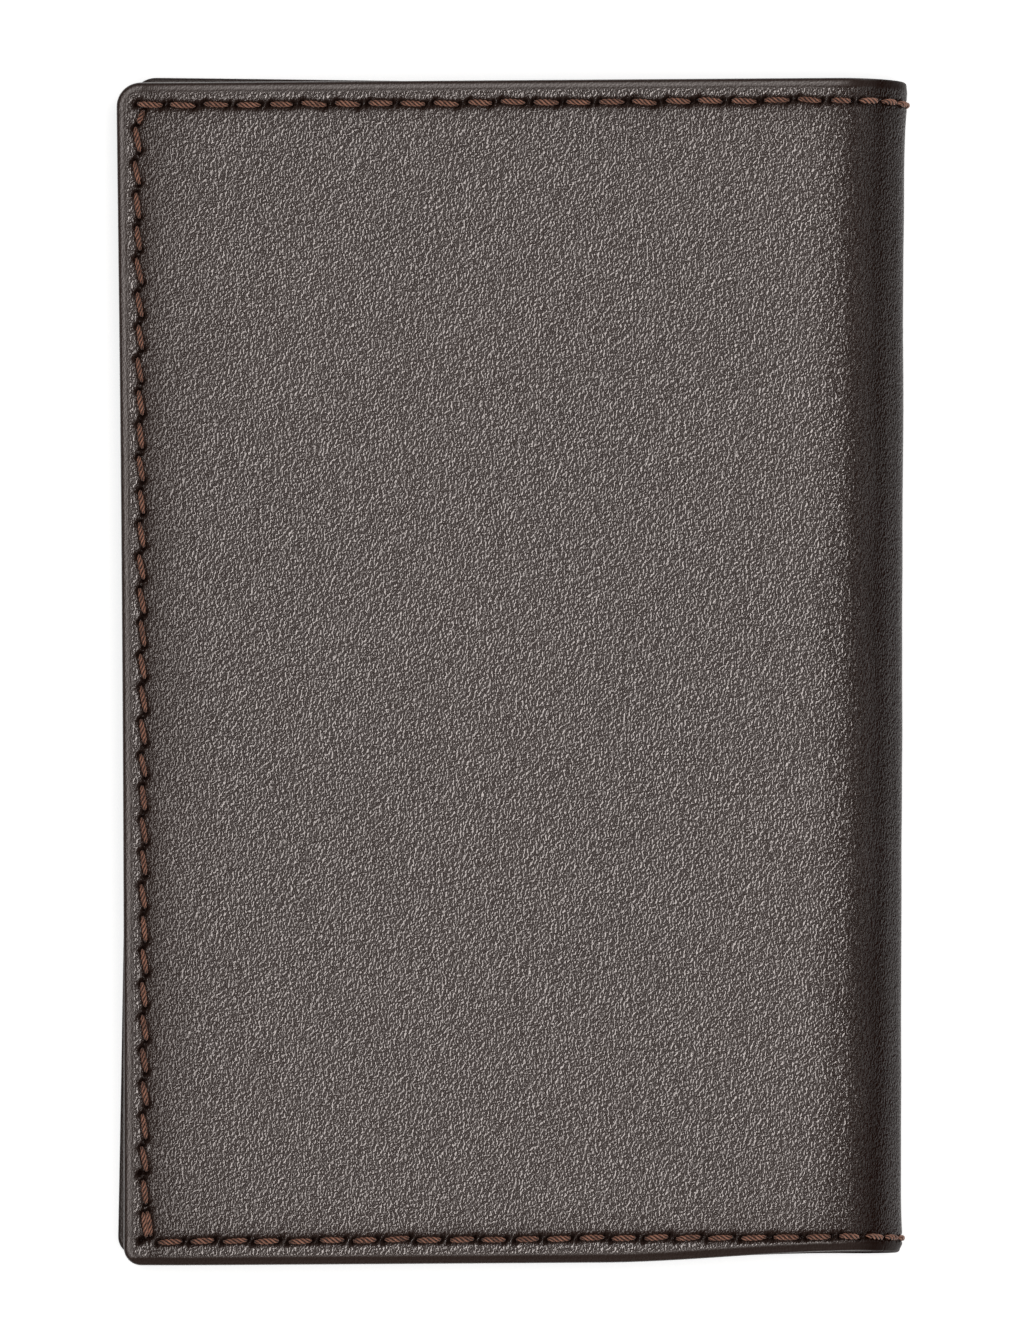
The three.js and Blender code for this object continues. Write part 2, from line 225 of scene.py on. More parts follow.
class Outline:
    """A closed anticlockwise outline: its points, which of them lie on a free edge of the leather,
    and the inward direction at each. Points that aren't free lie on a seam between two stretches."""

    def __init__(self, segments):
        points, free, normals = [], [], []
        self.free_lines, self.seams = [], []
        for line, is_free in segments:
            closed = is_free and len(segments) == 1
            points.append(line)
            free.append(np.full(len(line), is_free))
            normals.append(inward_normals(line, closed) if is_free else np.zeros_like(line))
            if is_free:
                self.free_lines.append(np.vstack([line, line[:1]]) if closed else line)
            else:
                self.seams.append(line)
        self.points = np.concatenate(points)
        self.free = np.concatenate(free)
        self.normals = np.concatenate(normals)

    def inset(self, amount):
        return self.points + self.normals * amount

    def free_distance(self, points):
        gaps = [distance_to_line(points, line) for line in self.free_lines]
        return np.min(gaps, axis=0)

    def fill(self, rings, coarse):
        """Points inside: rows beside the free edges, then a triangular grid."""
        rows = []
        for inset in rings:
            row = self.inset(inset)[self.free]
            keep = np.abs(self.free_distance(row) - inset) < 0.02 * inset + 0.002
            for seam in self.seams:
                keep &= distance_to_line(row, seam) > 0.08
            rows.append(row[keep])
        low, high = self.points.min(0), self.points.max(0)
        us = np.arange(low[0] + 0.5 * coarse, high[0], coarse)
        vs = np.arange(low[1] + 0.5 * coarse, high[1], 0.87 * coarse)
        grid = np.array([(u + (i % 2) * 0.5 * coarse, v) for i, v in enumerate(vs) for u in us])
        grid = grid[grid[:, 0] < high[0]]
        keep = self.free_distance(grid) > rings[-1] + 0.5 * coarse
        keep &= inside_loop(grid, self.points)
        for seam in self.seams:
            keep &= distance_to_line(grid, seam) > 0.4 * coarse
        rows.append(grid[keep])
        return np.concatenate(rows)


def distance_to_line(points, line):
    """Each point's distance to an open line of points."""
    best = np.full(len(points), np.inf)
    for start, end in zip(line[:-1], line[1:]):
        span = end - start
        rel = points - start
        t = np.clip((rel @ span) / max(span @ span, 1e-12), 0, 1)
        gap = rel - t[:, None] * span
        np.minimum(best, (gap ** 2).sum(1), out=best)
    return np.sqrt(best)


def inside_loop(points, loop):
    """Which points lie inside a closed loop, by counting crossings."""
    inside = np.zeros(len(points), bool)
    for (u0, v0), (u1, v1) in zip(loop, np.roll(loop, -1, axis=0)):
        if v0 == v1:
            continue
        spans = (v0 > points[:, 1]) != (v1 > points[:, 1])
        crossing = u0 + (points[:, 1] - v0) * (u1 - u0) / (v1 - v0)
        inside ^= spans & (points[:, 0] < crossing)
    return inside


def inward_normals(line, closed):
    """The inward direction at each point of an anticlockwise line."""
    if closed:
        along = np.roll(line, -1, axis=0) - np.roll(line, 1, axis=0)
    else:
        along = np.gradient(line, axis=0)
    along = along / np.linalg.norm(along, axis=1)[:, None]
    return np.stack([-along[:, 1], along[:, 0]], axis=1)


def shell(outline, place, height, thickness, rings, coarse, rounding=0.3, under_rounding=0.12):
    """A closed sheet of leather. place(u, v, h) gives the point h above the visible face, height(u, v)
    the relief of that face and thickness(u, v) how far below it the back lies. Returns points, faces,
    each point's flat place, and how many points are on the face."""
    def ring(inset, drop, from_back):
        flat = outline.inset(inset)
        u, v = flat[:, 0], flat[:, 1]
        top = height(*outline.inset(rounding).T)
        h = drop - thickness(u, v) if from_back else top - drop
        return flat, h

    top_flat = np.vstack([outline.inset(rounding), outline.fill([rounding + r for r in rings], coarse)])
    count = len(outline.points)
    faces = triangulate(top_flat, count)
    flats = [top_flat]
    heights = [height(*top_flat.T)]

    steps = [math.radians(a) for a in (25, 50, 72, 90)]
    ring_specs = [(rounding * (1 - math.sin(a)), rounding * (1 - math.cos(a)), False) for a in steps]
    back = [(under_rounding * (1 - math.sin(a)), under_rounding * (1 - math.cos(a)), True)
            for a in reversed(steps[1:])]
    ring_specs += back
    start = 0
    total = len(top_flat)
    for spec in ring_specs:
        flat, h = ring(*spec)
        flats.append(flat)
        heights.append(h)
        faces += quad_ring(start, total, count)
        start, total = total, total + count
    back_loop = outline.inset(under_rounding)
    back_flat = np.vstack([back_loop, outline.fill([under_rounding + 1.2], 2.5 * coarse)])
    flats.append(back_flat)
    heights.append(-thickness(*back_flat.T))
    faces += quad_ring(start, total, count)
    faces += [[total + i for i in face] for face in triangulate(back_flat, count)]
    flat = np.vstack(flats)
    h = np.concatenate(heights)
    return place(flat[:, 0], flat[:, 1], h), faces, flat, len(top_flat)


def quad_ring(start, following, count):
    return [[start + i, start + (i + 1) % count, following + (i + 1) % count, following + i]
            for i in range(count)]


# ---------------------------------------------------------------- the wrapped sheet's outline and relief

def smooth(t):
    t = np.clip(t, 0, 1)
    return t * t * (3 - 2 * t)


def even(value):
    """A height or thickness that is the same everywhere."""
    return lambda u, v: np.full(np.shape(u), value)


def from_middle(u):
    """Distance along the sheet from the middle of the spine."""
    return np.abs(u - SHEET_RUN / 2)


def hem(u):
    """The bottom edge is trimmed a little shorter towards the spine."""
    return -HALF_LENGTH + HEM_TRIM + HEM_RISE * smooth((34 - from_middle(u)) / 24)


def edge_distance(u, v):
    """Distance in from the nearest free edge, with the corners rounded."""
    across = np.minimum(u, SHEET_RUN - u)
    along = np.minimum(HALF_LENGTH - v, v - hem(u))
    r = np.where(v > 0, TOP_CORNER, BOTTOM_CORNER)
    in_corner = (across < r) & (along < r)
    rounded = r - np.hypot(r - across, r - along)
    return np.where(in_corner, rounded, np.minimum(across, along))


TOP_ROW = HALF_LENGTH - TOP_INSET
BOTTOM_ROW = -HALF_LENGTH + HEM_INSET


def row_distance(u, v):
    """Distance in from the row of stitches, negative in the margin outside it."""
    across = np.minimum(u, SHEET_RUN - u) - STITCH_INSET
    along = np.minimum(TOP_ROW - v, v - BOTTOM_ROW)
    return np.minimum(across, along)


def on_spine(u):
    """1 on the spine and 0 on the flat panels."""
    return smooth((SPINE_RUN / 2 - 2.5 - from_middle(u)) / 6)


def past_fold(u, v):
    """Distance round the spine from where it starts to bend, which leans and wanders a little along it."""
    return SPINE_RUN / 2 - from_middle(u) - 0.012 * v + 0.25 * ripple(0 * u, v, 13, 60, 14)


# The covers' relief. A dip is its depth and how far in from the seam it fades, a ridge its height, its
# middle and its half width, and a bevel its slope and how far in from the edge it reaches.
SEAM_HALF_WIDTH = 0.45
SIDE_DIPS = ((0.11, 1.0), (0.4, 4.5))
END_DIPS = ((0.06, 0.7), (0.1, 4.0))
SPINE_DROP = 0.75
SPINE_END_DROP, SPINE_HEM_DROP = 0.5, 0.1
EDGE_BEVEL, HEM_BEVEL = (0.07, 0.85), (0.4, 0.75)
MARGIN_RIDGE, FOLD_RIDGE = (0.03, 0.98, 0.2), (0.16, 2.0, 1.4)


def dips(specs, distance):
    return sum(depth * np.exp(-distance / reach) for depth, reach in specs)


def ridge(spec, distance):
    height, middle, half_width = spec
    return height * np.exp(-((distance - middle) / half_width) ** 2)


def bevel(spec, distance):
    slope, reach = spec
    return slope * np.maximum(reach - distance, 0)


def cover_base(u, v):
    """Relief of the outer leather without its stitches: a crowned panel inside a pressed margin, a slight
    crest where the spine starts, and a margin that droops at the bottom edge."""
    side = np.maximum(np.minimum(u, SHEET_RUN - u) - STITCH_INSET - SEAM_HALF_WIDTH, 0)
    end = np.maximum(np.minimum(TOP_ROW - v, v - BOTTOM_ROW) - SEAM_HALF_WIDTH, 0)
    crowned = -dips(SIDE_DIPS, side) - dips(END_DIPS, end)
    low_end = smooth(-v / 10)
    margin = np.exp(-end / 2)
    rolled = -SPINE_DROP * (1 - margin) - (SPINE_END_DROP + SPINE_HEM_DROP * low_end) * margin
    share = on_spine(u)
    lift = crowned * (1 - share) + rolled * share
    gap = edge_distance(u, v)
    bevels = bevel(EDGE_BEVEL, gap) + bevel(HEM_BEVEL, v - hem(u))
    ridges = ridge(MARGIN_RIDGE, gap) + ridge(FOLD_RIDGE, past_fold(u, v))
    waves = 0.02 * ripple(u, v, 11, 40, 12) + 0.008 * ripple(u, v, 12, 12, 5)
    return lift - bevels + ridges + waves


def sheet_outline(u0, u1, inset, spacing, seam_rings, coarse):
    """The outline of one stretch of a wrapped sheet, inset from the case's own edges."""
    low = lambda u: hem(u) + inset
    high = HALF_LENGTH - inset
    r, r_low = TOP_CORNER - inset, BOTTOM_CORNER - inset

    def bottom(ua, ub):
        line = even_line((ua, 0), (ub, 0), spacing)
        line[:, 1] = low(line[:, 0])
        return line

    def seam(u):
        offsets = np.array(seam_rings)
        gap = high - low(u) - 2 * offsets[-1]
        middle = np.arange(1, int(gap / coarse)) * gap / int(gap / coarse)
        vs = np.concatenate([low(u) + offsets, low(u) + offsets[-1] + middle, (high - offsets)[::-1]])
        return np.stack([np.full(len(vs), u), vs], axis=1)

    top = lambda ua, ub: even_line((ua, high), (ub, high), spacing)
    end = lambda u, v: np.array([[u, v]])
    if u0 <= 0:
        left = inset
        free = np.vstack([
            top(u1, left + r), corner((left + r, high - r), r, 0.5, spacing),
            even_line((left, high - r), (left, low(0) + r_low), spacing),
            corner((left + r_low, low(0) + r_low), r_low, 1.0, spacing),
            bottom(left + r_low, u1), end(u1, low(u1))])
        return Outline([(free, True), (seam(u1), False)])
    if u1 >= SHEET_RUN:
        right = SHEET_RUN - inset
        free = np.vstack([
            bottom(u0, right - r_low), corner((right - r_low, low(u1) + r_low), r_low, 1.5, spacing),
            even_line((right, low(u1) + r_low), (right, high - r), spacing),
            corner((right - r, high - r), r, 0.0, spacing), top(right - r, u0), end(u0, high)])
        return Outline([(free, True), (seam(u0)[::-1], False)])
    return Outline([
        (np.vstack([bottom(u0, u1), end(u1, low(u1))]), True), (seam(u1), False),
        (np.vstack([top(u1, u0), end(u0, high)]), True), (seam(u0)[::-1], False)])


# ---------------------------------------------------------------- stitches

# How deep a stitch and a needle hole press the leather, and how wide each is in half thicknesses of the
# thread. A hole is longer along its lean than across it.
BODY_PRESS, BODY_WIDTH = 0.24, 1.05
HOLE_PRESS, HOLE_LENGTH, HOLE_WIDTH = 0.5, 1.35, 0.8
STITCH_SCATTER = 0.05


class Stitches:
    """Stitches on a flat pattern: where each starts and ends, how thick it is, and loose needle holes."""

    def __init__(self):
        self.spans = []
        self.holes = []

    def row(self, start, end, count, slant, gap=0.8, thick=0.29):
        """count stitches from start to end. slant moves their two ends apart across the row, and gap is
        the bare leather between two stitches."""
        start, end = np.asarray(start, float), np.asarray(end, float)
        step = (end - start) / count
        along = step / np.linalg.norm(step)
        side = np.array([-along[1], along[0]])
        rng = np.random.default_rng(abs(int(1000 * (start[0] + 2 * start[1] + 3 * count))))
        for i in range(count):
            wander = rng.normal(0, STITCH_SCATTER, 2)
            inset = gap / 2 + rng.normal(0, STITCH_SCATTER, 2)
            a = start + step * i + along * inset[0] + side * (slant + wander[0])
            b = start + step * (i + 1) - along * inset[1] - side * (slant + wander[1])
            self.spans.append((a, b, thick * rng.uniform(0.94, 1.06)))

    def press(self, u, v):
        """How far the stitches press the leather down, and how much painted shade each place gets: nearly
        full in a needle hole and a little on the leather beside each stitch. A hole is a slit that leans
        against the thread's own slant."""
        points = np.stack([u, v], axis=-1).reshape(-1, 2)
        depth = np.zeros(len(points))
        pit = np.zeros(len(points))
        ends = [(end, thick) for a, b, thick in self.spans for end in (a, b)]
        for a, b, thick in self.spans:
            near = np.abs(points - (a + b) / 2).max(axis=1) < 2.6
            if near.any():
                p = points[near]
                span = b - a
                t = np.clip(((p - a) @ span) / (span @ span), 0, 1)
                gap = np.linalg.norm(p - a - t[:, None] * span, axis=1)
                pressed = BODY_PRESS * np.exp(-(gap / (thick * BODY_WIDTH)) ** 2)
                # Painted shadow on the leather right beside the thread.
                shaded = 0.35 * np.exp(-(gap / (thick * 1.1)) ** 4)
                depth[near] = np.maximum(depth[near], pressed)
                pit[near] = np.maximum(pit[near], shaded)
        for end, thick in ends + [(hole, 0.3) for hole in self.holes]:
            near = np.abs(points - end).max(axis=1) < 1.2
            if near.any():
                rel = points[near] - end
                lean = (rel[:, 0] - rel[:, 1]) / math.sqrt(2)
                across = (rel[:, 0] + rel[:, 1]) / math.sqrt(2)
                hole = np.exp(-(lean / (HOLE_LENGTH * thick)) ** 2 - (across / (HOLE_WIDTH * thick)) ** 2)
                depth[near] = np.maximum(depth[near], HOLE_PRESS * hole)
                pit[near] = np.maximum(pit[near], np.minimum(1.5 * hole, 1))
        return depth.reshape(np.shape(u)), pit.reshape(np.shape(u))


# A stitch's plies: the length of one turn, and each ply's radius and distance from the middle as shares
# of the thread's half thickness. The stitch narrows by its taper and dives by its dive at both ends.
PLY_TURN = 1.45
PLY_RADIUS, PLY_OFFSET = 0.44, 0.62
STITCH_TAPER, STITCH_LIFT, STITCH_DIVE = 0.55, 0.02, 0.5


def twisted_stitch(a, b, thick, hand, seed, steps=17, sides=7, plies=3):
    """One stitch of plied thread on a flat pattern, as (u, v), height, each point's distance from the
    thread's middle as a share, and faces. Its ends dive into the leather, and hand sets which way the
    plies turn."""
    rng = np.random.default_rng(seed)
    length = np.linalg.norm(b - a)
    along = (b - a) / length
    side = np.array([-along[1], along[0]])
    t = np.linspace(-0.05, 1.05, steps)
    bow = np.abs(2 * t - 1)
    swell = 1 - STITCH_TAPER * bow ** 2.5
    rise = STITCH_LIFT - STITCH_DIVE * bow ** 7
    phase = rng.uniform(0, 2 * math.pi)
    turns = length / PLY_TURN
    flats, heights, outer, faces = [], [], [], []
    for k in range(plies):
        turn = phase + hand * 2 * math.pi * (turns * t + k / plies)
        radius = PLY_RADIUS * thick * swell
        off = PLY_OFFSET * thick * swell
        centre = a + (b - a) * t[:, None] + side * (off * np.cos(turn))[:, None]
        lift = rise + off * np.sin(turn)
        start = k * steps * sides
        for j in range(sides):
            angle = 2 * math.pi * j / sides
            flats.append(centre + side * (radius * math.cos(angle))[:, None])
            heights.append(lift + radius * math.sin(angle))
            reach = np.hypot(off * np.cos(turn) + radius * math.cos(angle),
                             off * np.sin(turn) + radius * math.sin(angle))
            outer.append((reach - off + radius) / (2 * radius))
        index = lambda i, j: start + (j % sides) * steps + i
        for i in range(steps - 1):
            faces += [[index(i, j), index(i, j + 1), index(i + 1, j + 1), index(i + 1, j)]
                      for j in range(sides)]
        faces.append([index(0, j) for j in range(sides)])
        faces.append([index(steps - 1, j) for j in reversed(range(sides))])
    return np.vstack(flats), np.concatenate(heights), np.concatenate(outer), faces


def thread_piece(name, stitches, place, base, hand=-1):
    """All the stitches of one seam on one body, as one piece."""
    points, faces, flats, plies, count = [], [], [], [], 0
    for i, (a, b, thick) in enumerate(stitches.spans):
        flat, lift, outer, quads = twisted_stitch(a, b, thick, hand, i)
        middle = np.atleast_1d((a + b) / 2)
        level = base(middle[:1], middle[1:])[0]
        points.append(place(flat[:, 0], flat[:, 1], level + lift))
        faces += [[count + v for v in quad] for quad in quads]
        count += len(flat)
        flats.append(np.column_stack([flat, lift]))
        plies.append(outer)
    return make_piece(name, np.vstack(points), faces, THREAD, "stitching", flat=np.vstack(flats),
                      ply=np.concatenate(plies))


SPINE_SLANT = -0.05


def cover_stitches(index):
    """The seam of one stretch of the covers, seen from outside."""
    u0, u1 = stretch_runs(index)
    stitches = Stitches()
    if index in (1, 2):
        for row in (TOP_ROW, BOTTOM_ROW):
            stitches.row((u0, row), (u1, row), 2, SPINE_SLANT)
        return stitches
    free = STITCH_INSET if index == 0 else SHEET_RUN - STITCH_INSET
    fold = PANEL_RUN if index == 0 else PANEL_RUN + SPINE_RUN
    seam = u1 if index == 0 else u0
    inward = 1 if index == 0 else -1
    count = int(round(abs(fold - free) / STITCH_PITCH))
    top_start = free - 0.35 * inward
    bottom_start = free + 0.9 * inward
    for row, slant, start in ((TOP_ROW, -0.08, top_start), (BOTTOM_ROW, 0.05, bottom_start)):
        stitches.row((start, row), (fold, row), count, slant)
        stitches.row((fold, row), (seam, row), 2, SPINE_SLANT)
    side_top = TOP_ROW - 1.75
    side_count = int(round((side_top - BOTTOM_ROW) / STITCH_PITCH))
    stitches.row((free, BOTTOM_ROW), (free, side_top), side_count, 0.2, gap=0.72, thick=0.27)
    back_tack = stitches.spans[-side_count]
    beside = (0.42 * inward, 0.1)
    stitches.spans.append((back_tack[0] + beside, back_tack[1] + beside, back_tack[2]))
    corner_start = np.array([free + 0.65 * inward, TOP_ROW - 0.5])
    stitches.spans.append((corner_start, np.array([free + 0.1 * inward, side_top - 0.05]), 0.27))
    stitches.holes.append(np.array([free - 0.4 * inward, BOTTOM_ROW + 6.5]))
    stitches.holes.append(np.array([free - 0.3 * inward, BOTTOM_ROW + 0.15]))
    return stitches


# ---------------------------------------------------------------- materials

class Nodes:
    """A short way to write a material's node tree."""

    def __init__(self, name):
        self.material = bpy.data.materials.new(name)
        self.material.use_nodes = True
        self.tree = self.material.node_tree
        self.shader = self.tree.nodes["Principled BSDF"]

    def add(self, kind, inputs=None, **settings):
        node = self.tree.nodes.new("ShaderNode" + kind)
        for key, value in settings.items():
            setattr(node, key, value)
        for key, value in (inputs or {}).items():
            self.put(node.inputs[key], value)
        return node

    def put(self, socket, value):
        if isinstance(value, bpy.types.NodeSocket):
            self.tree.links.new(value, socket)
        else:
            socket.default_value = value

    def math(self, operation, *values):
        node = self.add("Math", operation=operation)
        for socket, value in zip(node.inputs, values):
            self.put(socket, value)
        return node.outputs[0]

    def times(self, a, b):
        return self.math("MULTIPLY", a, b)

    def rest_of(self, share):
        return self.math("SUBTRACT", 1.0, share)

    def mix(self, share, a, b):
        """A colour between a and b."""
        node = self.add("Mix", data_type="RGBA")
        self.put(node.inputs[0], share)
        self.put(node.inputs[6], a)
        self.put(node.inputs[7], b)
        return node.outputs[2]

    def blend(self, share, a, b):
        """A number between a and b."""
        return self.add("Mix", {0: share, 2: a, 3: b}, data_type="FLOAT").outputs[0]

    def ramp(self, value, low, high, to_low=0.0, to_high=1.0):
        """value eased from low to high, as a number from to_low to to_high."""
        limits = {"From Min": low, "From Max": high, "To Min": to_low, "To Max": to_high}
        node = self.add("MapRange", {"Value": value, **limits}, interpolation_type="SMOOTHSTEP")
        return node.outputs[0]

    def scaled(self, colour, factor):
        return self.add("VectorMath", {0: colour, 3: factor}, operation="SCALE").outputs[0]

    def mark(self, name):
        """A mark that make_piece has put on the mesh."""
        return self.add("Attribute", attribute_name=name).outputs["Fac"]

    def flat_place(self, scale, shift=(0, 0, 0)):
        """The unfolded leather's own coordinates in mm, each multiplied by scale, and then shifted."""
        place = self.add("Attribute", attribute_name="sheet").outputs["Vector"]
        return self.add("Mapping", {"Vector": place, "Location": shift, "Scale": scale}).outputs[0]

    def noise(self, scale, detail, distortion=0.0, shift=(0, 0, 0)):
        """Noise from 0 to 1. scale is how many of its lumps there are in 1 mm, along each axis."""
        place = self.flat_place(scale, shift)
        return self.add("TexNoise", {"Vector": place, "Scale": 1.0, "Detail": detail,
                                     "Distortion": distortion}).outputs["Fac"]

    def bump(self, height, depth, strength=1.0, **inputs):
        """A normal from a height of 0 to 1 that is depth metres deep."""
        return self.add("Bump", {"Height": height, "Distance": depth, "Strength": strength,
                                 **inputs}).outputs[0]

    def shade(self, **inputs):
        for key, value in inputs.items():
            self.put(self.shader.inputs[key.replace("_", " ")], value)
        return self.material


def grain_height(nodes, across, along):
    """Short worm-like wrinkles from 0 to 1, without any broad patches: the difference of one noise at two
    places half a wrinkle apart. across and along are the wrinkles' spacing in mm each way."""
    scale = (1 / across, 1 / along, 1)
    first = nodes.noise(scale, 0.0, 0.7)
    second = nodes.noise(scale, 0.0, 0.7, shift=(0.5, 0.2, 0))
    return nodes.ramp(nodes.math("SUBTRACT", first, second), -0.21, 0.21)


# Painted shade: near black in needle holes and beside the stitches, dark brown where the spine turns away
# from the light.
HOLE_SHADE_TINT = (0.005, 0.002, 0.0015, 1)
SPINE_SHADE_TINT = (0.009, 0.0025, 0.001, 1)


def leather(name, base, tip, sheen, roughness=0.33, relief=0.03, across=0.18, along=0.27):
    """Fine-grained leather. base and tip colour the valleys and tops of its grain, the lighter tops and
    darker valleys being painted highlight and shade, and sheen is how glossy each of them is, lower in
    the valleys to stand in for their shade; relief is the grain's height in mm. Its worn and painted
    edges are smooth, and its needle holes and the leather beside its stitches are painted dark as shade.
    Beside a fold its grain is bolder and creased, and where the spine turns away from the light it is
    painted darker as shade and has no gloss left but a little on the grain's tops."""
    nodes = Nodes(name)
    edge = nodes.mark("edge")
    pit = nodes.mark("pit")
    grain = nodes.blend(nodes.times(edge, 0.8), grain_height(nodes, across, along), 0.5)
    crease = nodes.times(nodes.mark("crease"), nodes.rest_of(edge))

    grain_depth = nodes.math("MULTIPLY_ADD", crease, 1.2 * relief * MM, relief * MM)
    grained = nodes.bump(grain, grain_depth)
    folds = nodes.times(nodes.noise((2.6, 0.9, 1), 1.0, 0.6), crease)
    creased = nodes.bump(folds, 0.1 * MM, Normal=grained)

    tone = nodes.ramp(nodes.noise((0.07, 0.05, 1), 3.0), 0.3, 0.7, 0.93, 1.07)
    # The grain's lighter tops and darker valleys are painted highlight and shade; the bump gives its real
    # relief.
    colour = nodes.scaled(nodes.mix(grain, base, tip), tone)
    # Needle holes and the leather beside the stitches are painted near black as shade, and lose their
    # gloss.
    colour = nodes.mix(pit, colour, HOLE_SHADE_TINT)
    # Where the spine turns away from the light it is painted darker as shade and loses its gloss, but for a
    # little on the grain's tops.
    dull = nodes.mark("dull")
    colour = nodes.mix(nodes.times(dull, 0.8), colour, SPINE_SHADE_TINT)

    kept_by_tips = nodes.times(nodes.math("POWER", grain, 4.0), 0.32)
    dulled = nodes.times(dull, nodes.math("SUBTRACT", 0.98, kept_by_tips))
    spoiled = nodes.math("MAXIMUM", nodes.times(pit, 0.85), dulled)
    gloss = nodes.times(nodes.ramp(grain, 0, 1, *sheen), nodes.rest_of(spoiled))
    rough = nodes.math("MULTIPLY_ADD", edge, 0.05, roughness)
    return nodes.shade(Base_Color=colour, Roughness=rough, Normal=creased, Specular_IOR_Level=gloss)


def thread_material(name, base, tip):
    """Plied sewing thread: fine fibres along each ply, painted lighter on the plies' outer faces and darker
    between them, as painted highlight and shade.
    """
    nodes = Nodes(name)
    fibres = nodes.noise((7, 7, 7), 3.0)
    tufts = nodes.noise((1.3, 1.3, 1.3), 2.0)
    light = nodes.math("ADD", nodes.times(fibres, 0.7), nodes.times(tufts, 0.6))
    # How far out on the thread each point lies paints its tone: painted shade in the grooves between plies,
    # painted highlight on their outer faces.
    share = nodes.times(nodes.ramp(light, 0.3, 0.85), nodes.ramp(nodes.mark("ply"), 0.4, 0.9))
    return nodes.shade(Base_Color=nodes.mix(share, base, tip), Roughness=0.62,
                       Normal=nodes.bump(fibres, 0.05 * MM, 0.8),
                       Sheen_Weight=0.15, Sheen_Roughness=0.5)


def cloth(name, warp_tint, weft_tint, pitch):
    """Fine twill: warp and weft threads cross on a slant."""
    nodes = Nodes(name)
    threads = nodes.flat_place((1 / pitch, 1 / pitch, 1))
    place = nodes.add("SeparateXYZ", {"Vector": threads})
    rib = nodes.add("TexWave", {"Vector": threads, "Scale": 0.22, "Distortion": 1.0, "Detail Scale": 3.0},
                    bands_direction="DIAGONAL")
    yarn, pick = (nodes.math("ABSOLUTE", nodes.math("SINE", nodes.times(place.outputs[i], math.pi)))
                  for i in (0, 1))
    height = nodes.math("ADD", nodes.times(yarn, pick), rib.outputs["Fac"])
    colour = nodes.mix(nodes.ramp(height, 0.3, 1.5), weft_tint, warp_tint)
    return nodes.shade(Base_Color=colour, Roughness=0.85, Normal=nodes.bump(height, 0.08 * MM),
                       Sheen_Weight=0.25)


def board(name, base, tip):
    """Grey-brown bonded board with loose fibres."""
    nodes = Nodes(name)
    fibres = nodes.noise((1.2, 4.5, 3), 4.0)
    colour = nodes.mix(nodes.ramp(fibres, 0.35, 0.65), base, tip)
    return nodes.shade(Base_Color=colour, Roughness=0.8, Normal=nodes.bump(fibres, 0.06 * MM, 0.7))


OUTER = leather("outer_leather", (0.021, 0.012, 0.0095, 1), (0.033, 0.021, 0.017, 1), (0.12, 0.88))
INNER = leather("inner_leather", (0.024, 0.013, 0.010, 1), (0.042, 0.026, 0.02, 1), (0.2, 0.7),
                roughness=0.4, across=0.2, along=0.26)
LINING_LEATHER = leather("lining_leather", (0.03, 0.016, 0.011, 1), (0.055, 0.034, 0.025, 1), (0.2, 0.6),
                         roughness=0.45, relief=0.025, across=0.14, along=0.18)
TWILL = cloth("twill", (0.05, 0.036, 0.028, 1), (0.018, 0.012, 0.009, 1), 0.28)
BOARD = board("board", (0.16, 0.12, 0.085, 1), (0.26, 0.2, 0.15, 1))
THREAD = thread_material("seam_thread", (0.022, 0.008, 0.005, 1), (0.4, 0.195, 0.13, 1))


# ---------------------------------------------------------------- covers

# How far in from the edge the cover's rows of points lie, closest over the seam, and the spacing beyond.
COVER_RINGS = [0.15, 0.32, 0.5, 0.68, 0.84, 1.0, 1.15, 1.32, 1.5, 1.66, 1.82, 1.98, 2.14, 2.3,
               2.46, 2.62, 2.8, 3.0, 3.3, 3.7]
COVER_SPACING = 0.85


def outward_place(u, v, h):
    return on_sheet(u, v, -h)


def level_place(flat):
    """Flat places of a sheet for its grain, all in one plane."""
    return np.column_stack([flat, np.full(len(flat), 0.5)])


def relief_normals(place, height, flat, face_count, margin, outward):
    """Normals of the face that height makes, so that neighbouring stretches shade as one. They are 0,
    which leaves them to the mesh, within margin of a free edge and at the points behind the face."""
    normals = np.zeros((len(flat), 3))
    inner = np.flatnonzero(edge_distance(*flat[:face_count].T) > margin)
    step = 0.04
    u, v = flat[inner].T
    across = place(u + step, v, height(u + step, v)) - place(u - step, v, height(u - step, v))
    along = place(u, v + step, height(u, v + step)) - place(u, v - step, height(u, v - step))
    found = outward * np.cross(across, along)
    normals[inner] = found / np.linalg.norm(found, axis=1)[:, None]
    return normals


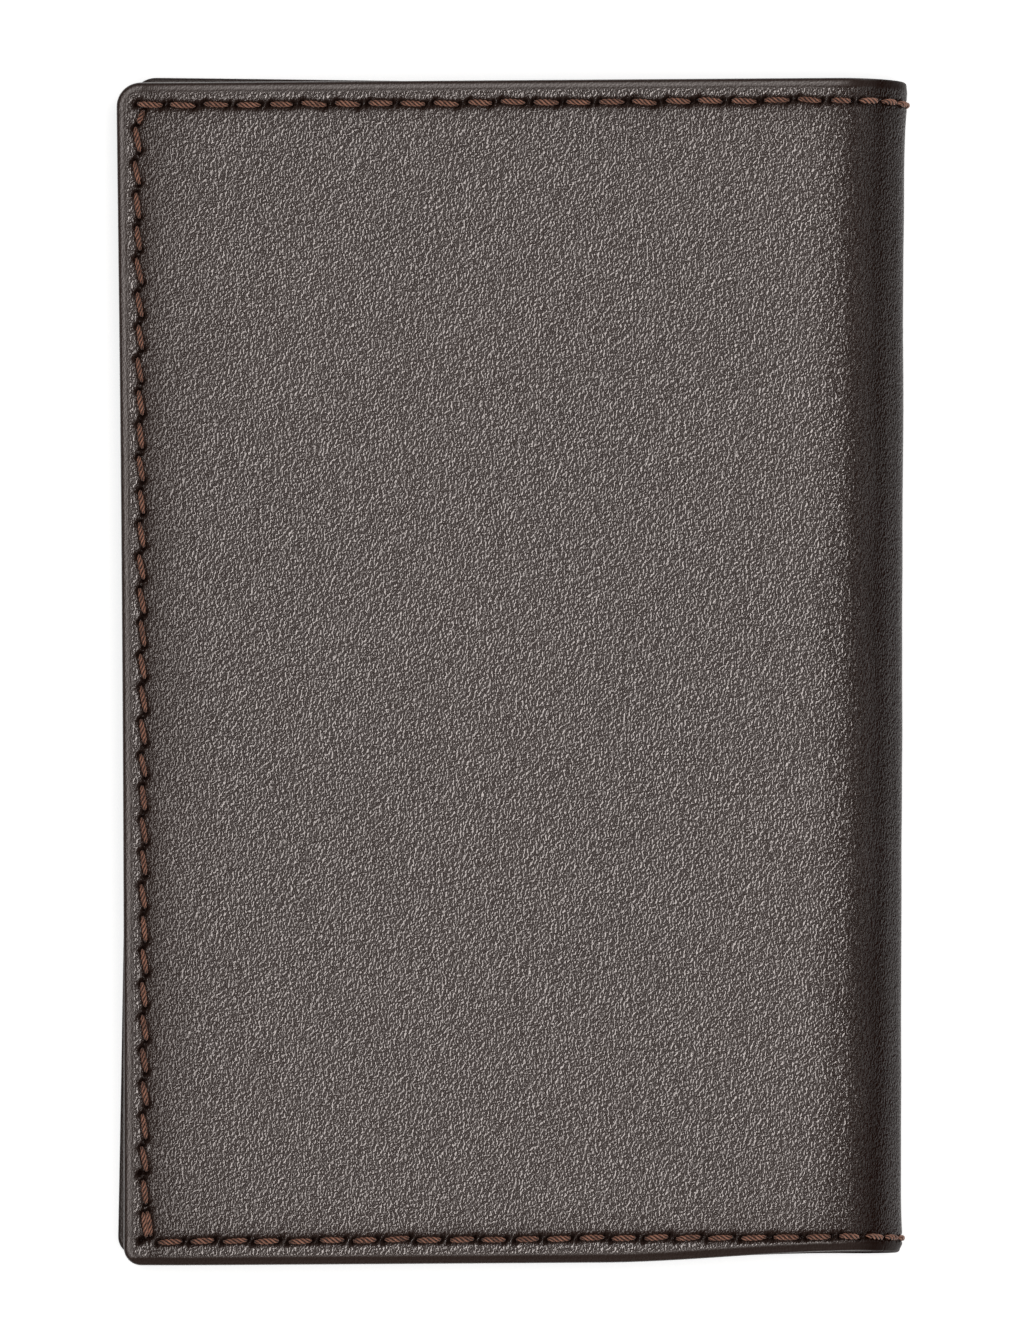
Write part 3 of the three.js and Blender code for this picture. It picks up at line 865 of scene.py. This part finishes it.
def make_cover(index, node_names):
    u0, u1 = stretch_runs(index)
    name = STRETCH_NAMES[index]
    stitches = cover_stitches(index)
    neighbours = [cover_stitches(i) for i in range(4) if abs(i - index) == 1]

    def pressed(u, v):
        near = np.abs(row_distance(u, v)) < 1.8
        depth_and_pit = np.zeros((2, *np.shape(u)))
        depth_and_pit[:, near] = np.maximum.reduce(
            [s.press(u[near], v[near]) for s in [stitches, *neighbours]])
        return depth_and_pit

    def height(u, v):
        return cover_base(u, v) - pressed(u, v)[0]

    def thickness(u, v):
        turned = smooth((3.2 - edge_distance(u, v)) / 0.6)
        return LEATHER + (EDGE_DEPTH - LEATHER) * turned * (1 - on_spine(u))

    outline = sheet_outline(u0, u1, 0, 0.25, COVER_RINGS, COVER_SPACING)
    points, faces, flat, face_count = shell(
        outline, outward_place, height, thickness, COVER_RINGS, COVER_SPACING)
    normals = relief_normals(outward_place, height, flat, face_count, 0.4, -1)
    edge = smooth((1.0 - edge_distance(*flat.T)) / 0.25)
    edge[face_count:] = 1
    # Painted shade in the needle holes and on the leather beside the stitches.
    pit = pressed(*flat.T)[1]
    pit[face_count:] = 0
    # Past the fold, the spine's side that turns away from the light gets painted shade and loses its gloss.
    piece = make_piece(name + "_leather", points, faces, OUTER, "outer_leather",
                       flat=level_place(flat), normals=normals,
                       edge=edge, pit=pit, dull=smooth((past_fold(*flat.T) - 1.8) / 3.4),
                       crease=np.exp(-((past_fold(*flat.T) - 2.8) / 2.8) ** 2))
    bend_stretch(piece, index)
    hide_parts(*node_names)
    thread = thread_piece(name + "_seam", stitches, outward_place, cover_base)
    bend_stretch(thread, index)


make_cover(0, ["rear_outer_leather", "rear_outer_thread"])
make_cover(1, ["spine_rear_leather", "spine_rear_thread_top", "spine_rear_thread_bottom"])
make_cover(2, ["spine_middle_leather", "spine_middle_thread_top", "spine_middle_thread_bottom",
               "spine_front_leather", "spine_front_thread_top", "spine_front_thread_bottom"])
make_cover(3, ["front_outer_leather", "front_outer_thread"])


# ---------------------------------------------------------------- linings

LINING_RINGS = [0.3, 0.9, 1.8, 3.0]
LINING_SPACING = 2.2
LINING_INSET = 0.3


def make_lining(index, node_names):
    """The soft lining of one stretch, seen from inside the case."""
    u0, u1 = stretch_runs(index)

    def place(u, v, h):
        return on_sheet(u, v, LINING_FACE + h)

    def height(u, v):
        return 0.012 * ripple(u, v, 21, 30, 8)

    outline = sheet_outline(u0, u1, LINING_INSET, 0.6, LINING_RINGS, LINING_SPACING)
    points, faces, flat, face_count = shell(
        outline, place, height, even(LINING), LINING_RINGS, LINING_SPACING, 0.14, 0.06)
    normals = relief_normals(place, height, flat, face_count, 0.6, 1)
    edge = smooth((0.7 - edge_distance(*flat.T)) / 0.2)
    piece = make_piece(STRETCH_NAMES[index] + "_lining", points, faces, LINING_LEATHER, "lining_leather",
                       flat=level_place(flat), normals=normals, edge=edge)
    bend_stretch(piece, index)
    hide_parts(*node_names)


make_lining(0, ["rear_lining"])
make_lining(1, ["spine_rear_lining"])
make_lining(2, ["spine_middle_lining", "spine_front_lining"])
make_lining(3, ["front_lining"])


# ---------------------------------------------------------------- flat panels

UP, DOWN = 1, -1
INNER_X, INNER_LOW, INNER_HIGH = -36.9, -55.2, 55.55
MOUTH_X = 27.0


def panel_outline(x0, x1, y0, y1, radius, spacing, notch=None):
    """A flat panel with its x0 corners rounded. notch is the radius of a thumb notch in its x1 end, and
    how far beyond that end its centre lies."""
    r = 0.5
    lines = [
        even_line((x0 + radius, y0), (x1 - r, y0), spacing),
        corner((x1 - r, y0 + r), r, 1.5, spacing)]
    if notch:
        notch_radius, offset = notch
        half = math.sqrt(notch_radius ** 2 - offset ** 2)
        middle = (y0 + y1) / 2
        swing = math.atan2(half, -offset)
        lines += [
            even_line((x1, y0 + r), (x1, middle - half), spacing),
            arc_line((x1 + offset, middle), notch_radius, -swing, swing - 2 * math.pi, spacing),
            even_line((x1, middle + half), (x1, y1 - r), spacing)]
    else:
        lines.append(even_line((x1, y0 + r), (x1, y1 - r), spacing))
    lines += [
        corner((x1 - r, y1 - r), r, 0.0, spacing),
        even_line((x1 - r, y1), (x0 + radius, y1), spacing),
        corner((x0 + radius, y1 - radius), radius, 0.5, spacing),
        even_line((x0, y1 - radius), (x0, y0 + radius), spacing),
        corner((x0 + radius, y0 + radius), radius, 1.0, spacing)]
    return Outline([(np.vstack(lines), True)])


def make_panel(name, body, node, outline, face, facing, thick, material, slot, stitches=None, crease=0.0,
               rings=(0.3, 0.8, 1.6), coarse=2.4, seed=31):
    """A flat sheet whose visible face lies at z = face and looks up or down. crease is how deep a line is
    pressed beside its edges."""
    rounding = min(0.16, 0.4 * thick)
    stitches = stitches or Stitches()

    def height(u, v):
        gap = outline.free_distance(np.column_stack([u, v])).reshape(np.shape(u))
        line = -crease * np.exp(-((gap - 0.75) / 0.16) ** 2)
        return 0.012 * ripple(u, v, seed, 40, 10) + line - 0.8 * stitches.press(u, v)[0]

    def place(u, v, h):
        return settle(u, v, face + facing * h)

    points, faces, flat, face_count = shell(
        outline, place, height, even(thick), list(rings), coarse, rounding, 0.4 * rounding)
    edge = smooth((0.3 - outline.free_distance(flat)) / 0.15)
    # Painted shade in the needle holes and on the leather beside the stitches.
    pit = stitches.press(*flat.T)[1]
    pit[face_count:] = 0
    piece = make_piece(name, points, faces, material, slot,
                       flat=level_place(flat), edge=edge, pit=pit)
    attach(piece, body)
    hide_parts(node)


def make_seam(name, body, node, rows, place, level, hand=-1):
    thread = thread_piece(name, rows, place, level, hand)
    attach(thread, body)
    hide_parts(node)


def seam_rows(x0, x1, y0, y1):
    """Inner stitches: along both ends from x1 to x0, and along x0."""
    stitches = Stitches()
    count = int(round((x1 - x0) / STITCH_PITCH))
    stitches.row((x1, y0), (x0, y0), count, 0.06)
    stitches.row((x1, y1), (x0, y1), count, 0.06)
    stitches.row((x0, y0), (x0, y1), int(round((y1 - y0) / STITCH_PITCH)), 0.06)
    return stitches


BOARD_INSET = 3.5
BOARD_THICKNESS = 0.4
board_outline = panel_outline(FREE_EDGE_X + BOARD_INSET, SPINE_X - 1, -HALF_LENGTH + BOARD_INSET,
                              HALF_LENGTH - BOARD_INSET, 1.0, 1.2)
make_panel("rear_board", "rear_panel", "rear_stiffener", board_outline, 1.65, UP, BOARD_THICKNESS,
           BOARD, "board", coarse=4)
make_panel("front_board", "front_flap", "front_stiffener", board_outline, 13.35, DOWN, BOARD_THICKNESS,
           BOARD, "board", coarse=4)

SLIP_LEATHER = 0.55
SLIP_CORNER = 1.6
slip_outline = panel_outline(INNER_X, MOUTH_X, INNER_LOW, INNER_HIGH, SLIP_CORNER, 0.5)
make_panel("rear_slip", "rear_panel", "rear_slip_panel", slip_outline, 2.8, UP, SLIP_LEATHER,
           INNER, "inner_leather", crease=0.05, rings=(0.3, 0.55, 0.75, 0.95, 1.3), coarse=2.2)

# Where the flap's card slots and its slip pocket open, and the height of each one's visible face.
UPPER_SLOT_X, UPPER_SLOT_FACE = 2.0, 10.6
LOWER_SLOT_X, LOWER_SLOT_FACE = 14.0, 11.4
FRONT_SLIP_X, FRONT_SLIP_FACE = 24.0, 12.2
FRONT_LINING_FACE = 12.8
LOWER_STRIP_X = -2.0
BACKING_X = -2.3
BACKING_THICKNESS = 0.15
front_rows = seam_rows(FREE_EDGE_X + STITCH_INSET, SPINE_X, -HALF_LENGTH + STITCH_INSET + 0.4,
                       HALF_LENGTH - STITCH_INSET)
SEAM_RINGS = (0.3, 0.55, 0.75, 0.95, 1.2, 1.4, 1.6, 1.8, 2.05, 2.4)
SLOT_PANELS = [
    ("front_slip", "front_slip_panel", INNER_X, FRONT_SLIP_X, SLIP_CORNER, FRONT_SLIP_FACE, 33),
    ("lower_slot", "lower_slot_strip", LOWER_STRIP_X, LOWER_SLOT_X, 0.5, LOWER_SLOT_FACE, 34),
    ("upper_slot", "upper_slot_panel", INNER_X, UPPER_SLOT_X, SLIP_CORNER, UPPER_SLOT_FACE, 35),
]
for name, node, x0, x1, radius, face, seed in SLOT_PANELS:
    outline = panel_outline(x0, x1, INNER_LOW, INNER_HIGH, radius, 0.3)
    make_panel(name, "front_flap", node, outline, face, DOWN, SLIP_LEATHER, INNER, "inner_leather",
               stitches=front_rows, crease=0.05, rings=SEAM_RINGS, coarse=2.2, seed=seed)
backing_outline = panel_outline(INNER_X, BACKING_X, INNER_LOW, INNER_HIGH, SLIP_CORNER, 1.0)
make_panel("slot_backing", "front_flap", "lower_slot_backing", backing_outline, LOWER_SLOT_FACE, DOWN,
           BACKING_THICKNESS, TWILL, "lining_fabric", coarse=3)


def front_level(u, v):
    """How far below z = 0 upside down the inner face of the flap lies at each x."""
    level = np.full(np.shape(u), -FRONT_LINING_FACE)
    for x1, face in ((FRONT_SLIP_X, FRONT_SLIP_FACE), (LOWER_SLOT_X, LOWER_SLOT_FACE),
                     (UPPER_SLOT_X, UPPER_SLOT_FACE)):
        level = np.where(u < x1, -face, level)
    return level


def upside_down(u, v, h):
    return settle(u, v, -h)


make_seam("front_inner_seam", "front_flap", "front_inner_thread", front_rows, upside_down, front_level)


# ---------------------------------------------------------------- pocket

POCKET_X0, POCKET_Y = -34.75, 53.3
POCKET_FACE = 8.95
POCKET_LEATHER = 0.9
POCKET_CORNER = 1.2
POCKET_SEAM = 1.6
NOTCH = (12.0, 5.0)

# The cloth behind the pocket's leather is trimmed back from its mouth and its notch.
CLOTH_TRIM = 0.3
CLOTH_NOTCH = (12.3, 5.3)

pocket_rows = seam_rows(POCKET_X0 + POCKET_SEAM, MOUTH_X, -POCKET_Y + POCKET_SEAM, POCKET_Y - POCKET_SEAM)
pocket_outline = panel_outline(POCKET_X0, MOUTH_X, -POCKET_Y, POCKET_Y, POCKET_CORNER, 0.3, NOTCH)
make_panel("pocket_front_panel", "pocket_front", "pocket_front_leather", pocket_outline, POCKET_FACE, UP,
           POCKET_LEATHER, INNER, "inner_leather", stitches=pocket_rows, crease=0.07,
           rings=(0.25, 0.5, 0.65, 0.85, 1.05, 1.25, 1.45, 1.65, 1.9, 2.3), coarse=2.0, seed=41)
cloth_outline = panel_outline(POCKET_X0, MOUTH_X - CLOTH_TRIM, -POCKET_Y, POCKET_Y, POCKET_CORNER, 0.8,
                              CLOTH_NOTCH)
make_panel("pocket_cloth", "pocket_front", "pocket_front_lining", cloth_outline, 7.7, DOWN, 0.3,
           TWILL, "lining_fabric", coarse=3)
make_seam("pocket_seam", "pocket_front", "pocket_thread", pocket_rows, settle, even(POCKET_FACE), hand=1)


GUSSET_LOW, GUSSET_HIGH = 2.85, 7.65
GUSSET_LEATHER = 0.4
END_POINTS = 60
BACK_POINTS = 100


def gusset_profile():
    """The middle line of the folded gusset strip, as inset and z, from its lower edge upwards."""
    low, high = GUSSET_LOW + GUSSET_LEATHER / 2, GUSSET_HIGH - GUSSET_LEATHER / 2
    knots = np.array([(0, low), (2.2, low), (4.2, low + 0.05), (6.0, low + 0.9), (7.0, low + 1.7),
                      (7.25, (low + high) / 2), (7.0, high - 1.7), (6.0, high - 0.9), (4.2, high - 0.05),
                      (2.3, high)])
    for _ in range(2):
        cut = np.empty((2 * len(knots) - 2, 2))
        cut[0::2] = 0.75 * knots[:-1] + 0.25 * knots[1:]
        cut[1::2] = 0.25 * knots[:-1] + 0.75 * knots[1:]
        knots = np.vstack([knots[:1], cut, knots[-1:]])
    return knots


def gusset_path(inset):
    """Points round the pocket's three closed sides at one inset, from the mouth to the mouth."""
    x0, y0, y1 = INNER_X + inset, INNER_LOW + inset, INNER_HIGH - inset
    r = SLIP_CORNER
    upper_end = np.linspace((MOUTH_X, y1), (x0 + r, y1), END_POINTS)
    back = np.linspace((x0, y1 - r), (x0, y0 + r), BACK_POINTS)
    lower_end = np.linspace((x0 + r, y0), (MOUTH_X, y0), END_POINTS)
    turn = np.linspace(0, math.pi / 2, 9)[1:-1]
    first = np.stack([x0 + r - r * np.sin(turn), y1 - r + r * np.cos(turn)], axis=1)
    second = np.stack([x0 + r - r * np.cos(turn), y0 + r - r * np.sin(turn)], axis=1)
    return np.vstack([upper_end, first, back, second, lower_end])


def make_gusset():
    middle = gusset_profile()
    along = np.gradient(middle, axis=0)
    side = np.stack([-along[:, 1], along[:, 0]], axis=1) / np.linalg.norm(along, axis=1)[:, None]
    loop = np.vstack([middle + side * GUSSET_LEATHER / 2, (middle - side * GUSSET_LEATHER / 2)[::-1]])
    length = np.concatenate([[0], np.cumsum(np.linalg.norm(np.diff(middle, axis=0), axis=1))])
    spread = np.concatenate([length, length[::-1]])
    edge_share = np.zeros(len(loop))
    edge_share[[0, len(middle) - 1, len(middle), len(loop) - 1]] = 1
    points, flats, edges = [], [], []
    for (inset, z), across, share in zip(loop, spread, edge_share):
        path = gusset_path(inset)
        run = np.concatenate([[0], np.cumsum(np.linalg.norm(np.diff(path, axis=0), axis=1))])
        sag = 0.05 * ripple(run, np.full(len(run), z), 51, 26, 9) * smooth((inset - 4) / 2)
        points.append(settle(path[:, 0], path[:, 1], z + sag))
        flats.append(np.column_stack([run, np.full(len(run), across), np.full(len(run), 0.5)]))
        edges.append(np.full(len(run), share))
    count = len(points[0])
    rows = len(loop)

    def index(row, i):
        return row % rows * count + i

    faces = [[index(r, i), index(r, i + 1), index(r + 1, i + 1), index(r + 1, i)]
             for r in range(rows) for i in range(count - 1)]
    for i in (0, count - 1):
        faces += [[index(r, i), index(r + 1, i), index(rows - 2 - r, i), index(rows - 1 - r, i)]
                  for r in range(len(middle) - 1)]
    piece = make_piece("folded_gusset", np.vstack(points), faces, INNER, "inner_leather",
                       flat=np.vstack(flats), edge=np.concatenate(edges))
    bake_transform(piece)
    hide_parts("pocket_gusset")


make_gusset()
rear_rows = seam_rows(FREE_EDGE_X + STITCH_INSET, MOUTH_X - 0.4, -HALF_LENGTH + STITCH_INSET + 0.4,
                      HALF_LENGTH - STITCH_INSET)
make_seam("rear_inner_seam", "rear_panel", "rear_inner_thread", rear_rows, settle,
          even(GUSSET_LOW + GUSSET_LEATHER), hand=1)


# ---------------------------------------------------------------- floor, light and camera

def softbox(place, size, watts, colour):
    """A square light that looks at the middle of the floor."""
    light = bpy.data.lights.new("softbox", "AREA")
    light.size = size
    light.energy = watts
    light.color = colour
    lamp = bpy.data.objects.new("softbox", light)
    lamp.location = place
    lamp.rotation_euler = Vector(place).to_track_quat("Z", "Y").to_euler()
    bpy.context.scene.collection.objects.link(lamp)


def floor(half, drop):
    mesh = bpy.data.meshes.new("floor")
    mesh.from_pydata([(-half, -half, 0), (half, -half, 0), (half, half, 0), (-half, half, 0)], [],
                     [(0, 1, 2, 3)])
    plane = bpy.data.objects.new("floor", mesh)
    plane.location.z = -drop
    bpy.context.scene.collection.objects.link(plane)
    nodes = Nodes("floor")
    mesh.materials.append(nodes.shade(Base_Color=(0.9, 0.9, 0.9, 1), Roughness=0.9,
                                      Emission_Color=(0.93, 0.98, 1, 1), Emission_Strength=0.6))


def surroundings(brightness):
    world = bpy.data.worlds.new("studio")
    world.use_nodes = True
    background = world.node_tree.nodes["Background"]
    background.inputs["Color"].default_value = (1, 1, 1, 1)
    background.inputs["Strength"].default_value = brightness
    bpy.context.scene.world = world
    bpy.context.scene.view_settings.view_transform = "Standard"


def camera_above(distance, frame_height):
    """A camera straight above the case. frame_height is what it sees from top to bottom."""
    camera = bpy.data.cameras.new("camera")
    camera.sensor_width = 36
    camera.lens = camera.sensor_width * distance / frame_height
    rig = bpy.data.objects.new("camera", camera)
    rig.location = (0, 0, distance + THICKNESS * MM)
    bpy.context.scene.collection.objects.link(rig)
    bpy.context.scene.camera = rig


floor(half=1.5, drop=0.0002)
surroundings(brightness=0.07)
softbox(place=(0.06, 0, 1.6), size=0.6, watts=19.5, colour=(1, 0.918, 0.88))
camera_above(distance=2.5, frame_height=0.1276)
